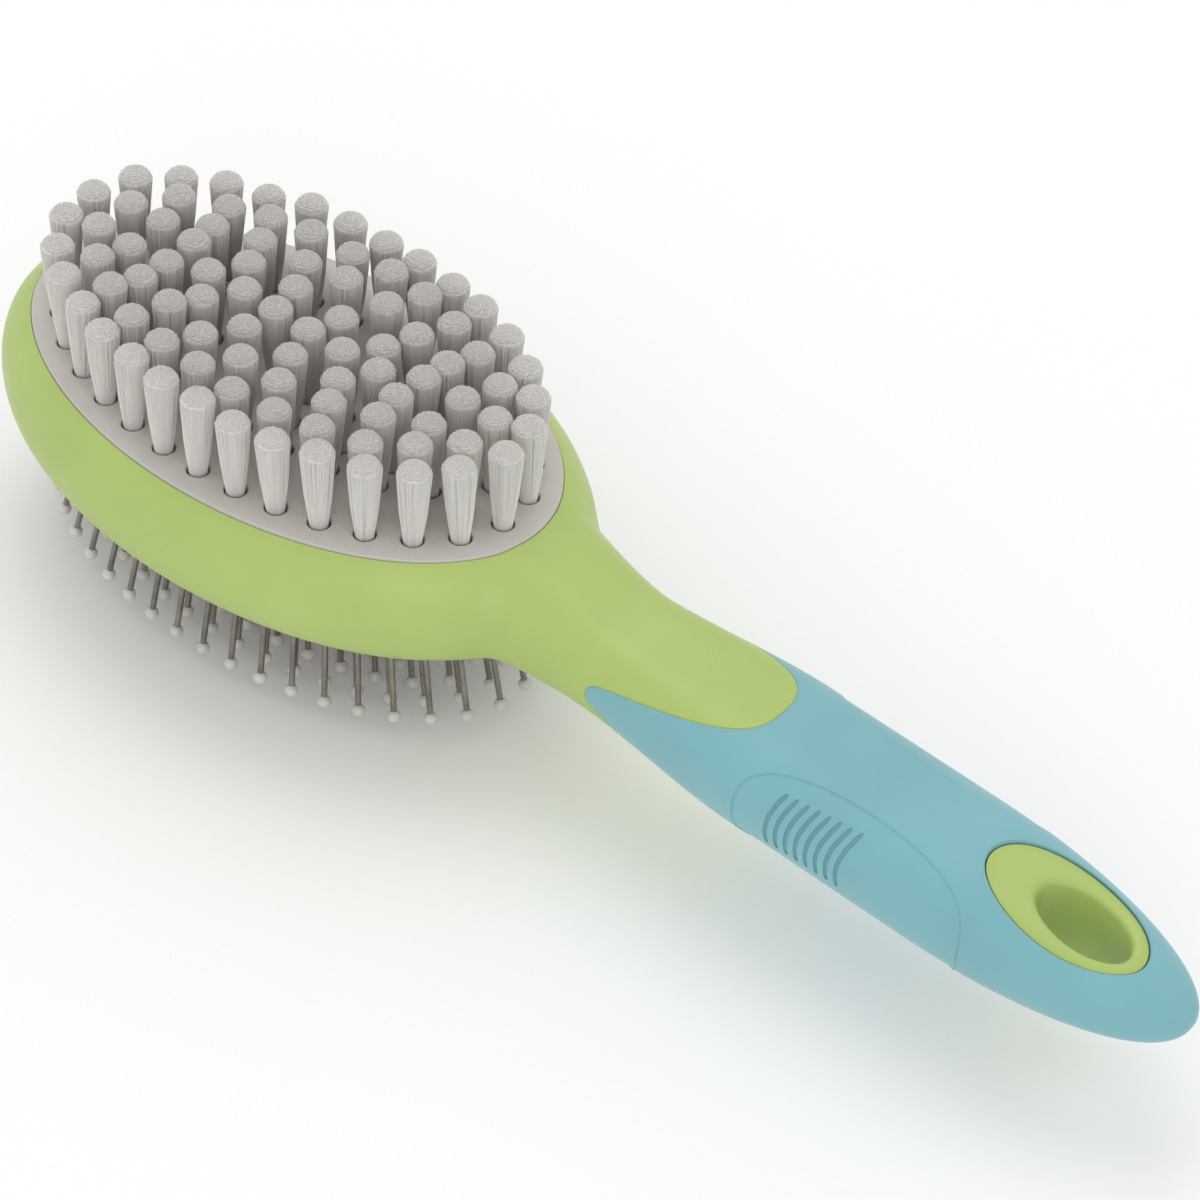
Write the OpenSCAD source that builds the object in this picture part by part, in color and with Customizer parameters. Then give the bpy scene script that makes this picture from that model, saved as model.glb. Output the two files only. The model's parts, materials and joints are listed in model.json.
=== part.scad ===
// Double-sided grooming brush: nylon bristles above, ball-tipped steel pins on an air cushion below.
// Millimetres. +X runs along the handle towards its tail, +Z is the bristle side.
// The origin is under the middle of the brush, on the surface that the pin tips stand on.
// Heights named *_z are measured from the face of the bristle plate, before everything is lifted.

/* [Head] */
// Half length of the head ring at its widest
head_half_len = 55.7; // [54:0.1:58]
// Half width of the head ring at its widest
head_half_wid = 34.1; // [33:0.1:36]
// Thickness of the head ring
head_thick = 22; // [21.6:0.1:23]
// Sideways bulge of the rounded head ring
ring_bulge = 8; // [7:0.1:8.4]

/* [Bristle side] */
// Half length of the oval bristle plate
plate_half_len = 50; // [49:0.1:50.6]
// Half width of the oval bristle plate
plate_half_wid = 29.2; // [28.6:0.1:29.6]
// How far the tufts stand above the plate
tuft_height = 16.3; // [10:0.1:20]
// Radius of a tuft at the bottom of its hole
tuft_root_r = 1.5; // [1.2:0.05:1.6]
// Radius of a tuft at its flared top
tuft_top_r = 2.75; // [2:0.05:2.8]
// Number of tufts in the outer ring
outer_tufts = 30; // [26:1:32]
// Inset of the outer tuft ring from the plate's edge
tuft_inset = 4.95; // [4.5:0.05:5.5]
// Spacing from one tuft ring to the next
tuft_ring_gap = 5.9; // [5.8:0.05:6]

/* [Pin side] */
// Radius of a steel pin
pin_r = 0.5; // [0.4:0.05:0.6]
// Radius of the ball on a pin's tip
tip_r = 1.1; // [0.9:0.05:1.2]
// Length of a pin from the cushion's skin to the middle of its ball
pin_len = 16.8; // [12:0.1:18]
// Number of pins in the outer ring
outer_pins = 40; // [32:1:40]
// Spacing from one pin ring to the next
pin_ring_gap = 4.6; // [4.4:0.1:5]
// Lean of the pins at the two ends of the head, in degrees
end_lean = 14; // [6:1:16]
// Lean of the pins along the two long sides, in degrees
side_lean = 11; // [6:1:14]
// Bulge of the rubber cushion from its edge to its crown
cushion_crown = 3.6; // [2.5:0.1:4]

/* [Handle] */
// Distance from the middle of the head to the handle's tail
tail_reach = 174.9; // [172:0.1:184]
// Half width of the handle where it is widest
grip_half_wid = 13.5; // [13.2:0.1:16]
// Half width of the neck
neck_half_wid = 10.9; // [10.8:0.1:13]
// Half thickness of the handle
grip_half_thick = 9; // [8.8:0.1:10]
// Thickness of the soft rubber over the handle's core
grip_skin = 1.8; // [1.5:0.1:2]
// How far the two thumb panels are sunk into the rubber
panel_sink = 0.2; // [0.15:0.05:0.6]
// Number of grooves in each thumb panel
panel_grooves = 8; // [5:1:9]

/* [Hang hole] */
// Length of the slot-shaped hole
hole_len = 16; // [13:0.5:17]
// Width of the hole
hole_wid = 9.8; // [8:0.1:10.5]
// Length of the oval dish around the hole
dish_len = 27.5; // [26:0.5:29]
// Width of the oval dish
dish_wid = 15.9; // [15:0.1:17]

/* [Hidden] */
TUFT_RINGS = 5;
PIN_ROWS = 7;

$fn = 48;
EPS = 0.01;

// Where the model sits: centred along its length, and lifted onto its pin tips
mid_x = (tail_reach - head_half_len) / 2;

// Head ring
head_h = head_thick / 2;
head_mid_z = 0.4 - head_h;
head_low_z = head_mid_z - head_h;
core_half_len = head_half_len - ring_bulge;
core_half_wid = head_half_wid - ring_bulge;

// Bristle plate
seam = 0.15;
flange_t = 2.6;
plate_t = 7.2;
boss_inset = 2.4;
boss_half_len = plate_half_len - boss_inset;
boss_half_wid = plate_half_wid - boss_inset;
web_top_z = -plate_t - 0.8;
web_t = 2.4;
hole_depth = 5.4;
hole_r = 1.86;
sink_r = 2.3;
tuft_line_half = 17.5;
sink_depth = 0.5;
staple_len = 3.2;
staple_t = 0.4;
staple_h = 0.8;
seat_gap = 0.05;
tuft_low_z = -hole_depth + staple_h + 2 * seat_gap;

// Cushion, from the web down
pocket_top_z = web_top_z - web_t;
cup_floor_t = 1.5;
flange_low_z = head_low_z + 0.9;
membrane_t = 1.8;
flange_top_z = flange_low_z + membrane_t;
dome_gap = 0.3;
flange_lap = 1.2;
cup_half_len = 48.4;
cup_half_wid = 26.6;
cup_wall = 2.3;
dome_half_len = cup_half_len - cup_wall;
dome_half_wid = cup_half_wid - cup_wall;
crown_z = flange_low_z - cushion_crown;
dome_rx = pow(dome_half_len, 2) / (2 * cushion_crown);
dome_ry = pow(dome_half_wid, 2) / (2 * cushion_crown);
vent_r = 1.5;

// Pins
pin_ring_len = 43.4;
pin_ring_wid = 21.8;
pin_head_r = 1.1;
pin_head_t = 0.45;
pin_head_gap = 0.15;
pin_hole_r = pin_r + 0.08;
row_pitch = 2 * pin_ring_wid / PIN_ROWS;

// Handle: where along X each part of the shape starts, and how long it takes to blend in
tail_start = 130.9;
neck_drop = 14;
neck_slope = 0.055;
bend_start = 43;
bend_len = 28.6;
neck_end = 72;
thin_start = 45;
thin_len = 25;
thick_len = 30;
neck_thin = 0.9;
square_start = 50;
square_len = 30;
squarest = 2.3;
neck_flare = 4.9;
flare_start = 46;
flare_len = 25.5;
swell_start = 67;
swell_len = 31;
handle_top_flat = 3.2;
tail_round = 0.92;
blend_x = 20;
blend_power = 8;
core_start = 66;
grip_start = 69.5;
tongue_tip = 98.6;
tongue_half_wid = 10.7;
wing_nose_len = 3.5;
wing_nose_half = 2.8;
dish_mid_x = 151.5;
dish_sink = 0.5;
hole_mid_x = 154.6;
panel_mid_x = 121;
panel_mid_y = 14.3;
panel_half_len = 21;
panel_reach = 7.4;
groove_start = 106.4;
groove_pitch = 1.88;
groove_w = 0.7;
groove_depth = 0.6;
groove_lift = 2.1;
groove_lean = 8;
groove_axis_x = 112;
groove_bow_r = 13;
groove_bow = 22;

// ---------- curves ----------

function sq(x) = x * x;
function clamp01(t) = min(1, max(0, t));
function smooth(t) = let (u = clamp01(t)) u * u * (3 - 2 * u);
function mix(a, b, t) = a + (b - a) * t;
function soft_max(a, b, k) = pow(pow(max(a, EPS), k) + pow(max(b, EPS), k), 1 / k);
function arch(t) = sqrt(max(0, 1 - t * t));

function ellipse_points(a, b, n = 96) = [for (i = [0:n - 1]) [a * cos(360 * i / n), b * sin(360 * i / n)]];

// Running length round an ellipse, as [length, angle] pairs that lookup() can read
function ellipse_steps(a, b, n) = [for (i = [1:n])
    let (t0 = 360 * (i - 1) / n, t1 = 360 * i / n)
    norm([a * (cos(t1) - cos(t0)), b * (sin(t1) - sin(t0))])];
function running(v) = [for (i = 0, s = 0; i <= len(v); s = s + (i < len(v) ? v[i] : 0), i = i + 1) s];
function ellipse_table(a, b, n = 240) = let (s = running(ellipse_steps(a, b, n)))
    [for (i = [0:n]) [s[i] / s[n], 360 * i / n]];

// Points at equal steps along an ellipse, starting a part-step from its -X end
function even_ring(a, b, count, phase = 0) = let (table = ellipse_table(a, b))
    [for (k = [0:count - 1])
        let (t = lookup((k + phase) / count, table) + 180)
        [a * cos(t), b * sin(t)]];
function even_line(half, count) = [for (k = [0:count - 1]) [mix(-half, half, k / (count - 1)), 0]];

// ---------- outer shape of the moulding: sections across X ----------
// A section is drawn by levels: cs is 1 at the widest level and 0 on the flat top and underside

function tail_t(x) = clamp01((x - tail_start) / (tail_reach - tail_start));
function flare(x) = neck_flare * sq(clamp01(1 - (x - flare_start) / flare_len));
function neck_wid(x) = mix(neck_half_wid, grip_half_wid, smooth((x - swell_start) / swell_len)) + flare(x);
function handle_wid(x) = neck_wid(x) * pow(arch(tail_t(x)), tail_round);

function handle_thick(x) = arch(tail_t(x))
    * mix(grip_half_thick - neck_thin, grip_half_thick, smooth((x - neck_end) / thick_len));
function half_thick(x) = x < 0
    ? head_h * arch(max(0, -x - core_half_len) / ring_bulge)
    : mix(head_h, handle_thick(x), smooth((x - thin_start) / thin_len));

function mid_z(x) = x < 0
    ? head_mid_z
    : mix(head_mid_z, -neck_drop - neck_slope * (x - neck_end), smooth((x - bend_start) / bend_len));

// Roundness of a section: 2 is a true ellipse, and more is squarer
function squareness(x) = mix(2, squarest, smooth((x - square_start) / square_len));

// Half width of the head's ring at one level: ovals that grow from the core to the rim
function ring_reach(x, level) = let (a = core_half_len + ring_bulge * level)
    (core_half_wid + ring_bulge * level) * arch(min(1, x / a));
function handle_reach(x, inset, level) = let (
        w = max(handle_wid(x) - inset, 2 * EPS),
        flat = min(handle_top_flat * arch(tail_t(x)), 0.8 * w)
    ) mix(flat, w, level);

// The head's tip has no levels nearer the core than this
function tip_level(x) = max(0, (-x - core_half_len) / ring_bulge);

function reach(x, inset, cs) = x < blend_x
    ? ring_reach(x, mix(x < 0 ? tip_level(x) : 0, 1, cs))
    : soft_max(ring_reach(x, cs) - inset, handle_reach(x, inset, pow(cs, 2 / squareness(x))), blend_power);

function rise(x, inset, cs) = let (h = max(half_thick(x) - inset, 2 * EPS))
    x < 0
        ? head_h * arch(mix(tip_level(x), 1, cs))
        : h * pow(arch(cs), 2 / squareness(x));

function section(x, inset = 0, n = 44) = [for (i = [0:n - 1])
    let (t = 360 * (i + 0.5) / n, cs = abs(cos(t)))
    [sign(cos(t)) * reach(x, inset, cs), mid_z(x) + sign(sin(t)) * rise(x, inset, cs)]];

module slice(x, inset) {
    translate([x, 0, 0])
        rotate([90, 0, 90])
            linear_extrude(EPS)
                polygon(section(x, inset));
}

module loft(stations, inset = 0) {
    for (i = [1:len(stations) - 1])
        hull() {
            slice(stations[i - 1], inset);
            slice(stations[i], inset);
        }
}

head_stations = [for (i = [0:13]) -(head_half_len - EPS) * cos(90 * i / 13)];
neck_stations = [for (x = [8:8:40]) x];
bend_stations = [for (x = [43:3:76]) x];
grip_stations = [for (x = [82:8:tail_start - 4]) x];
tail_stations = [for (i = [0:11]) mix(tail_start, tail_reach - 0.05, sin(90 * i / 11))];
all_stations = concat(head_stations, neck_stations, bend_stations, grip_stations, tail_stations);
handle_stations = concat([for (x = [64:3:76]) x], grip_stations, tail_stations);

module to_place() {
    translate([-mid_x, 0, lift])
        children();
}

module oval_prism(a, b, z0, z1) {
    translate([0, 0, z0])
        linear_extrude(z1 - z0)
            polygon(ellipse_points(a, b));
}

// ---------- body and grip ----------

// Edge of the rubber: a tongue of bare plastic runs down the middle of the neck
function edge_x(y) = mix(grip_start, tongue_tip, pow(1 - pow(min(1, abs(y) / tongue_half_wid), 3), 1 / 3));

module rubber_area() {
    intersection() {
        translate([0, 0, -45])
            linear_extrude(60)
                polygon(concat(
                    [for (i = [-18:18]) let (y = tongue_half_wid * sin(5 * i)) [edge_x(y), y]],
                    [[grip_start, 20], [tail_reach + 5, 20], [tail_reach + 5, -20], [grip_start, -20]]
                ));
        wing_noses();
    }
}

// Seen from the side, the rubber starts on each flank of the neck with a rounded nose
module wing_noses() {
    translate([grip_start, 25, mid_z(grip_start)])
        rotate([90, 0, 0])
            linear_extrude(50)
                polygon(concat(
                    [for (i = [-9:9]) [wing_nose_len * (1 - cos(10 * i)), wing_nose_half * sin(10 * i)]],
                    [[wing_nose_len, 30], [tail_reach, 30], [tail_reach, -40], [wing_nose_len, -40]]
                ));
}

module dish_area() {
    translate([dish_mid_x, 0, -45])
        linear_extrude(60)
            polygon(ellipse_points(dish_len / 2, dish_wid / 2, 48));
}

module handle_core() {
    intersection() {
        loft(handle_stations, grip_skin);
        translate([core_start, -30, -45])
            cube([tail_reach - core_start - 6, 60, 60]);
    }
}

// D-shaped panels on the two sides, where a thumb or a finger rests
module panel_area() {
    for (side = [-1, 1])
        translate([panel_mid_x, side * panel_mid_y, -45])
            linear_extrude(60)
                polygon(ellipse_points(panel_half_len, panel_reach, 72));
}

// One bowed stroke, cut into the handle's -Y side
module groove_stroke() {
    linear_extrude(30)
        polygon([for (side = [-1, 1], i = [-5:5])
            let (a = 180 + side * groove_bow * i / 5, r = groove_bow_r + side * groove_w / 2)
            [groove_bow_r + r * cos(a), r * sin(a)]]);
}

// The two sets of grooves swap places when the brush is turned over about its handle
module both_ways_up() {
    axis_z = mid_z(groove_axis_x);
    children();
    translate([0, 0, 2 * axis_z])
        mirror([0, 0, 1])
            mirror([0, 1, 0])
                children();
}

module panel_grooves_cut() {
    difference() {
        both_ways_up()
            for (i = [0:panel_grooves - 1])
                translate([groove_start + i * groove_pitch, 0, mid_z(groove_axis_x) + groove_lift])
                    rotate([90, groove_lean, 0])
                        groove_stroke();
        loft(handle_stations, panel_sink + groove_depth);
        translate([60, -7, -45])
            cube([80, 14, 60]);
    }
}

module hang_hole() {
    translate([hole_mid_x, 0, -45])
        linear_extrude(60)
            polygon(ellipse_points(hole_len / 2, hole_wid / 2, 40));
}

module body() {
    color("#a9cf6a")
        to_place()
            difference() {
                union() {
                    difference() {
                        loft(all_stations);
                        rubber_area();
                    }
                    handle_core();
                    intersection() {
                        loft(handle_stations, dish_sink);
                        dish_area();
                    }
                }
                hang_hole();
                oval_prism(plate_half_len + seam, plate_half_wid + seam, -flange_t, 5);
                oval_prism(boss_half_len + seam, boss_half_wid + seam, web_top_z, 5);
                oval_prism(cup_half_len + seam, cup_half_wid + seam, head_low_z - 5, pocket_top_z);
            }
}

module panel_recess() {
    difference() {
        panel_area();
        loft(handle_stations, panel_sink);
    }
}

module grip() {
    color("#7fb6c6")
        to_place()
            difference() {
                intersection() {
                    loft(handle_stations);
                    rubber_area();
                }
                handle_core();
                dish_area();
                panel_recess();
                panel_grooves_cut();
            }
}

// ---------- bristle side ----------

function ring_count(i) = round(outer_tufts * [1, 0.8, 0.6, 0.4][i - 1]);
function tuft_spots(i) = i == TUFT_RINGS
    ? even_line(tuft_line_half, 6)
    : let (inset = tuft_inset + (i - 1) * tuft_ring_gap)
        even_ring(plate_half_len - inset, plate_half_wid - inset, ring_count(i), i == 1 ? 0.75 : 0.5);

module bristle_plate() {
    color("#c9c5c7")
        to_place()
            difference() {
                union() {
                    oval_prism(plate_half_len, plate_half_wid, -flange_t, 0);
                    oval_prism(boss_half_len, boss_half_wid, -plate_t, -flange_t);
                }
                for (i = [1:TUFT_RINGS])
                    for (p = tuft_spots(i))
                        translate([p[0], p[1], -hole_depth])
                            tuft_hole();
            }
}

module tuft_hole() {
    cylinder(h = hole_depth + 1, r = hole_r);
    translate([0, 0, hole_depth - sink_depth])
        cylinder(h = sink_depth + EPS, r1 = hole_r, r2 = sink_r);
}

module tuft_ring(i) {
    color("#e8e6e3")
        to_place()
            for (p = tuft_spots(i))
                translate([p[0], p[1], tuft_low_z])
                    cylinder(h = tuft_height - tuft_low_z, r1 = tuft_root_r, r2 = tuft_top_r);
}

module tuft_staples(i) {
    color("#8c8c90")
        to_place()
            for (p = tuft_spots(i))
                translate([p[0] - staple_len / 2, p[1] - staple_t / 2, tuft_low_z - staple_h - seat_gap])
                    cube([staple_len, staple_t, staple_h]);
}

// ---------- pin side ----------

function pin_ring(i) = even_ring(
    pin_ring_len - i * pin_ring_gap, pin_ring_wid - i * pin_ring_gap,
    round(outer_pins * [1, 0.9, 0.7, 0.5][i]), i % 2 == 0 ? 0.5 : 0);
function dome_z(x, y) = crown_z + sq(x) / (2 * dome_rx) + sq(y) / (2 * dome_ry);
pin_spots = concat(
    [for (i = [0:3], p = pin_ring(i)) p],
    even_line(pin_ring_len - 4 * pin_ring_gap, 8)
);
lift = -min([for (p = pin_spots)
    dome_z(p[0], p[1]) - tip_r
        - pin_len * cos(end_lean * p[0] / pin_ring_len) * cos(side_lean * p[1] / pin_ring_wid)]);
function row_of(p) = round(p[1] / row_pitch) + (PIN_ROWS + 1) / 2;
function row_spots(i) = [for (p = pin_spots) if (min(PIN_ROWS, max(1, row_of(p))) == i) p];

// Puts a pin's own axis at its spot on the skin, pointing down and leaning outwards
module at_pin(p) {
    translate([p[0], p[1], dome_z(p[0], p[1])])
        rotate([0, -end_lean * p[0] / pin_ring_len, 0])
            rotate([side_lean * p[1] / pin_ring_wid, 0, 0])
                rotate([180, 0, 0])
                    children();
}

module pin_wire() {
    root = membrane_t + pin_head_gap;
    translate([0, 0, -root])
        cylinder(h = pin_len + root, r = pin_r);
    translate([0, 0, -root - pin_head_t])
        cylinder(h = pin_head_t, r = pin_head_r);
}

module pin_row(i) {
    color("#9a958c")
        to_place()
            for (p = row_spots(i))
                at_pin(p)
                    pin_wire();
}

module pin_tips(i) {
    color("#e4e0dc")
        to_place()
            for (p = row_spots(i))
                at_pin(p)
                    difference() {
                        translate([0, 0, pin_len])
                            sphere(r = tip_r);
                        translate([0, 0, pin_len - 2 * tip_r])
                            cylinder(h = 2 * tip_r, r = pin_r);
                    }
}

// Solid barrel whose skin bends gently along the head and tightly across it
module dome_barrel(inset) {
    across = dome_ry - inset;
    translate([0, 0, crown_z + dome_rx])
        rotate([90, 0, 0])
            rotate_extrude($fn = 200)
                intersection() {
                    translate([dome_rx - dome_ry, 0])
                        circle(r = across);
                    translate([dome_rx - 20, -dome_ry])
                        square([20 - inset + 1, 2 * dome_ry]);
                }
}

module dome_prism(inset, z0, z1) {
    oval_prism(dome_half_len - inset, dome_half_wid - inset, z0, z1);
}

module cushion_membrane() {
    color("#aaa5a2")
        to_place()
            difference() {
                union() {
                    intersection() {
                        dome_prism(dome_gap, crown_z - 1, flange_top_z);
                        difference() {
                            dome_barrel(0);
                            dome_barrel(membrane_t);
                        }
                    }
                    difference() {
                        oval_prism(cup_half_len, cup_half_wid, flange_low_z, flange_top_z);
                        dome_prism(flange_lap, flange_low_z - 1, flange_top_z + 1);
                    }
                }
                for (p = pin_spots)
                    at_pin(p)
                        translate([0, 0, -4])
                            cylinder(h = 8, r = pin_hole_r);
            }
}

module cushion_cup() {
    color("#d8d8d4")
        to_place()
            difference() {
                oval_prism(cup_half_len, cup_half_wid, flange_top_z, pocket_top_z);
                dome_prism(0, flange_low_z - 1, pocket_top_z - cup_floor_t);
                translate([0, 0, pocket_top_z - 5])
                    cylinder(h = 10, r = vent_r);
            }
}

module cushion_frame() {
    color("#c9c5c7")
        to_place()
            difference() {
                oval_prism(cup_half_len, cup_half_wid, head_low_z + 0.1, flange_low_z);
                dome_prism(0, head_low_z - 1, flange_low_z + 1);
            }
}

body();
grip();
bristle_plate();
cushion_membrane();
cushion_cup();
cushion_frame();
for (i = [1:TUFT_RINGS]) {
    tuft_ring(i);
    tuft_staples(i);
}
for (i = [1:PIN_ROWS]) {
    pin_row(i);
    pin_tips(i);
}
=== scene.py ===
"""Looks for the double-sided pet brush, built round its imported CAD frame.

Metres, in the CAD frame: +X runs along the handle, +Z is the bristle side, and the pin tips stand on z = 0.
"""
import json
import math

import bmesh
import bpy
import numpy as np
from mathutils import Matrix, Vector


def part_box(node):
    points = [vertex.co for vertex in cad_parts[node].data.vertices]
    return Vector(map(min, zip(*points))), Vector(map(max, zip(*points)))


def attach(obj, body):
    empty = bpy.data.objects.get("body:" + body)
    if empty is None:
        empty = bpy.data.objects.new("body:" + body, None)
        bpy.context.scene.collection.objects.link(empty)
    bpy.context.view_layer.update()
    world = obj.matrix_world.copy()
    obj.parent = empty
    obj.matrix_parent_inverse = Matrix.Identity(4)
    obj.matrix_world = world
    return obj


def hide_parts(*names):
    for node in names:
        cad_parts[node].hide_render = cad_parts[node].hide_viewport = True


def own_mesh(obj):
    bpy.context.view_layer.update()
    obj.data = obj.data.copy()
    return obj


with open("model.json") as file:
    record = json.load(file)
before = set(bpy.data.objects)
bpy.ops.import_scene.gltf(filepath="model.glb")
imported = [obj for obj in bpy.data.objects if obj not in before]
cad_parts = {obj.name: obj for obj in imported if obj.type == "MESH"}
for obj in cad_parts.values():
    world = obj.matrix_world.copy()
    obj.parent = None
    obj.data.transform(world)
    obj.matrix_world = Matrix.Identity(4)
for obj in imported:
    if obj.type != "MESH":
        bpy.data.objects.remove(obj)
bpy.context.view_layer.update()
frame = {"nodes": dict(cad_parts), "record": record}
MM = 0.001

# ---------- places and sizes, read from the CAD frame ----------

plate_low, plate_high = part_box("bristle_plate")
body_low, body_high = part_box("body")
_, grip_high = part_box("grip")
skin_low, skin_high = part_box("cushion_membrane")
ring_low, ring_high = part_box("cushion_frame")
_, tuft_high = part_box("tuft_ring_1")

HEAD_X = (plate_low.x + plate_high.x) / 2
PLATE_Z = plate_high.z
PLATE_LEN = (plate_high.x - plate_low.x) / 2
PLATE_WID = (plate_high.y - plate_low.y) / 2
PLATE_THICK = plate_high.z - plate_low.z
HEAD_LEN = HEAD_X - body_low.x
HEAD_WID = body_high.y
TAIL_REACH = grip_high.x - HEAD_X
CUP_LEN = (skin_high.x - skin_low.x) / 2
CUP_WID = (skin_high.y - skin_low.y) / 2
RIM_Z = ring_high.z
CROWN = RIM_Z - skin_low.z
TUFT_HEIGHT = tuft_high.z - PLATE_Z

# ---------- sizes that the frame doesn't state, in step with the CAD model ----------

HALF_THICK = 11 * MM
HEAD_MID_Z = PLATE_Z - 10.6 * MM
BULGE = 8 * MM
CORE_LEN = HEAD_LEN - BULGE
CORE_WID = HEAD_WID - BULGE
SEAM = 0.15 * MM
FLANGE_THICK = 2.6 * MM
BOSS_INSET = 2.4 * MM
WEB_TOP_Z = PLATE_Z - 8 * MM
WEB_LOW_Z = PLATE_Z - 10.4 * MM
DOME_INSET = 2.3 * MM
SKIN_THICK = 1.8 * MM

TAIL_START = 130.9 * MM
NECK_WID = 10.9 * MM
GRIP_WID = 13.5 * MM
GRIP_THICK = 9 * MM
GRIP_SKIN = 1.8 * MM
RUBBER_START = 69.5 * MM
TONGUE_TIP = 98.6 * MM
TONGUE_WID = 10.7 * MM
NOSE_LEN = 3.5 * MM
NOSE_HALF = 2.8 * MM

DISH_X = 151.5 * MM
DISH_LEN = 27.5 * MM / 2
DISH_WID = 15.9 * MM / 2
DISH_SINK = 0.5 * MM
HOLE_X = 154.6 * MM
HOLE_LEN = 8 * MM
HOLE_WID = 4.9 * MM
PANEL_X = 121 * MM
PANEL_Y = 14.3 * MM
PANEL_LEN = 21 * MM
PANEL_REACH = 7.4 * MM
PANEL_SINK = 0.2 * MM
GROOVES = 8
GROOVE_START = 106.4 * MM
GROOVE_PITCH = 1.88 * MM
GROOVE_BOW = 13 * MM
GROOVE_TURN = math.radians(22)
GROOVE_LEAN = math.radians(8)
GROOVE_LIFT = 2.1 * MM
GROOVE_AXIS_X = 112 * MM

TUFT_INSET = 4.95 * MM
TUFT_RING_GAP = 5.9 * MM
TUFT_COUNTS = (30, 24, 18, 12)
TUFT_LINE = (17.5 * MM, 6)
TUFT_HOLE = 1.86 * MM
TUFT_DEPTH = 5.4 * MM
PIN_RING = (43.4 * MM, 21.8 * MM)
PIN_RING_GAP = 4.6 * MM
PIN_COUNTS = (40, 36, 28, 20)
PIN_LINE_COUNT = 8

# Handle: where along X each part of the shape starts, and how long it takes to blend in
NECK_DROP = 14 * MM
NECK_SLOPE = 0.055
BEND_START = 43 * MM
BEND_LEN = 28.6 * MM
NECK_END = 72 * MM
NECK_THIN = 0.9 * MM
THIN_START = 45 * MM
THIN_LEN = 25 * MM
THICK_LEN = 30 * MM
SQUARE_START = 50 * MM
SQUARE_LEN = 30 * MM
SQUAREST = 2.3
FLARE = 4.9 * MM
FLARE_START = 46 * MM
FLARE_LEN = 25.5 * MM
SWELL_START = 67 * MM
SWELL_LEN = 31 * MM
TOP_FLAT = 3.2 * MM
TAIL_ROUND = 0.92
BLEND_X = 20 * MM
BLEND_POWER = 8
CORE_START = 66 * MM

# ---------- fine detail that only the looks have ----------

SEAM_GROOVE = 0.14 * MM
DISH_GAP = 0.28 * MM
HOLE_LIP_TOP = 1.5 * MM
HOLE_LIP_LOW = 0.8 * MM
RECESS_LIP = 0.22 * MM
POCKET_LIP = 0.5 * MM
PLATE_EDGE = 0.22 * MM
TUFT_HOLE_LIP = 0.34 * MM
RING_EDGE = 0.3 * MM
DISH_GROOVE = 0.2 * MM
PANEL_LINE = 0.24 * MM
GROOVE_RADIUS = 0.42 * MM
GROOVE_SINK = 0.14 * MM
COLLAR_RISE = 0.34 * MM
COLLAR_REACH = 0.95 * MM
COLLAR_MOAT = 0.1 * MM
MOAT_REACH = 1.5 * MM
MOAT_WIDTH = 0.5 * MM

# A tuft from root to tip: share of the height, reach of its outermost filament in mm,
# thickness of a filament, and drop of the level in mm
TUFT_PROFILE = ((0, 1.45, 1, 0), (0.14, 1.6, 1, 0), (0.5, 2.3, 1, 0), (1, 2.85, 1, 0.14), (1, 2.85, 0.45, 0))
TUFT_LOW = -2.2 * MM
TUFT_CROWN = 2.1 * MM
TUFT_SHORT = 0.7 * MM
TUFT_LEAN = 0.25 * MM
TUFT_UNEVEN = 0.3 * MM
CORE_SIDES = 20
CORE_GAP = 0.13 * MM
PACK_RINGS = 7
FILAMENT = 0.19 * MM
FILAMENT_SIDES = 4

# ---------- how finely the shapes are drawn, and where their lofts start ----------

ARC_POINTS = 41
FLAT_POINTS = 12
STATION_STEP = 0.6 * MM
CORE_STEP = 1.2 * MM
PATH_STEP = 0.5 * MM
END_GAP = 0.01 * MM
THINNEST = 0.02 * MM
OVERLAP = 1 * MM
GRIP_LOFT_START = 64 * MM
PANEL_LOFT_START = 90 * MM
PAD_LOFT_START = 130 * MM

# Cutters reach from below the whole brush to above it
BELOW_ALL = PLATE_Z - 45 * MM
ABOVE_ALL = PLATE_Z + 15 * MM


# ---------- small maths ----------

def clamp01(t):
    return np.clip(t, 0.0, 1.0)


def smooth(t):
    u = clamp01(t)
    return u * u * (3 - 2 * u)


def mix(a, b, t):
    return a + (b - a) * t


def arch(t):
    return np.sqrt(np.maximum(0.0, 1 - np.square(t)))


def soft_max(a, b, k):
    return (np.maximum(a, END_GAP) ** k + np.maximum(b, END_GAP) ** k) ** (1 / k)


# ---------- the moulding's outer shape: x is measured from the middle of the head ----------

def tail_part(x):
    return clamp01((x - TAIL_START) / (TAIL_REACH - TAIL_START))


def handle_width(x):
    flare = FLARE * clamp01(1 - (x - FLARE_START) / FLARE_LEN) ** 2
    neck = mix(NECK_WID, GRIP_WID, smooth((x - SWELL_START) / SWELL_LEN)) + flare
    return neck * arch(tail_part(x)) ** TAIL_ROUND


def half_thickness(x):
    if x < 0:
        return HALF_THICK * arch(max(0, -x - CORE_LEN) / BULGE)
    thick = mix(GRIP_THICK - NECK_THIN, GRIP_THICK, smooth((x - NECK_END) / THICK_LEN))
    return mix(HALF_THICK, thick * arch(tail_part(x)), smooth((x - THIN_START) / THIN_LEN))


def middle_z(x):
    if x < 0:
        return HEAD_MID_Z
    handle = PLATE_Z - NECK_DROP - NECK_SLOPE * (x - NECK_END)
    return mix(HEAD_MID_Z, handle, smooth((x - BEND_START) / BEND_LEN))


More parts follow.
